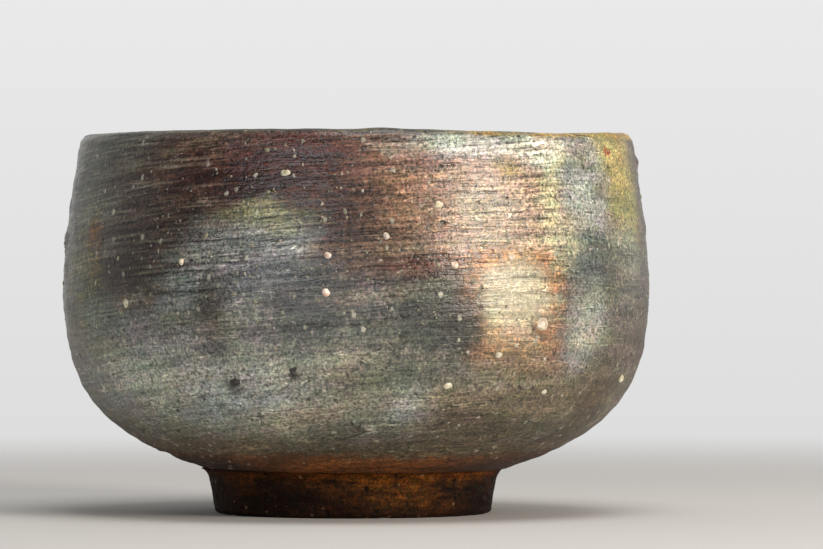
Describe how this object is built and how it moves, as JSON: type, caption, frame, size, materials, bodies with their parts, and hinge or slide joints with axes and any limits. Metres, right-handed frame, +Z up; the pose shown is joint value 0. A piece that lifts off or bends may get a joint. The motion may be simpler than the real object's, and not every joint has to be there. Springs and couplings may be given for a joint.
{
  "type": "matcha bowl",
  "caption": "Round-bellied stoneware tea bowl with a slightly drawn-in lip, a low foot ring and coarse mineral grains standing out of its wood-fired wall.",
  "frame": {"origin": "on the table plane, at the middle of the foot, on the bowl's axis", "axes": "+Z up along the bowl's axis, -Y towards the bowl's shown face, +X to the right of it"},
  "size_m": [0.12, 0.1203, 0.0778],
  "materials": {
    "fired_stoneware": "wood-fired stoneware with natural ash and flashing, satin",
    "foot_clay": "bare fired clay, iron red-brown",
    "feldspar": "half-melted feldspar grain",
    "iron_slag": "melted iron spot, semi-gloss"
  },
  "bodies": {
    "root": {"bowl_body": "fired_stoneware", "foot_ring": "foot_clay", "feldspar_stone_01": "feldspar", "feldspar_stone_02": "feldspar", "feldspar_stone_03": "feldspar", "feldspar_stone_04": "feldspar", "feldspar_stone_05": "feldspar", "feldspar_stone_06": "feldspar", "feldspar_stone_07": "feldspar", "feldspar_stone_08": "feldspar", "feldspar_stone_09": "feldspar", "feldspar_stone_10": "feldspar", "feldspar_stone_11": "feldspar", "feldspar_stone_12": "feldspar", "feldspar_stone_13": "feldspar", "feldspar_stone_14": "feldspar", "iron_spot_01": "iron_slag", "iron_spot_02": "iron_slag"}
  },
  "joints": []
}
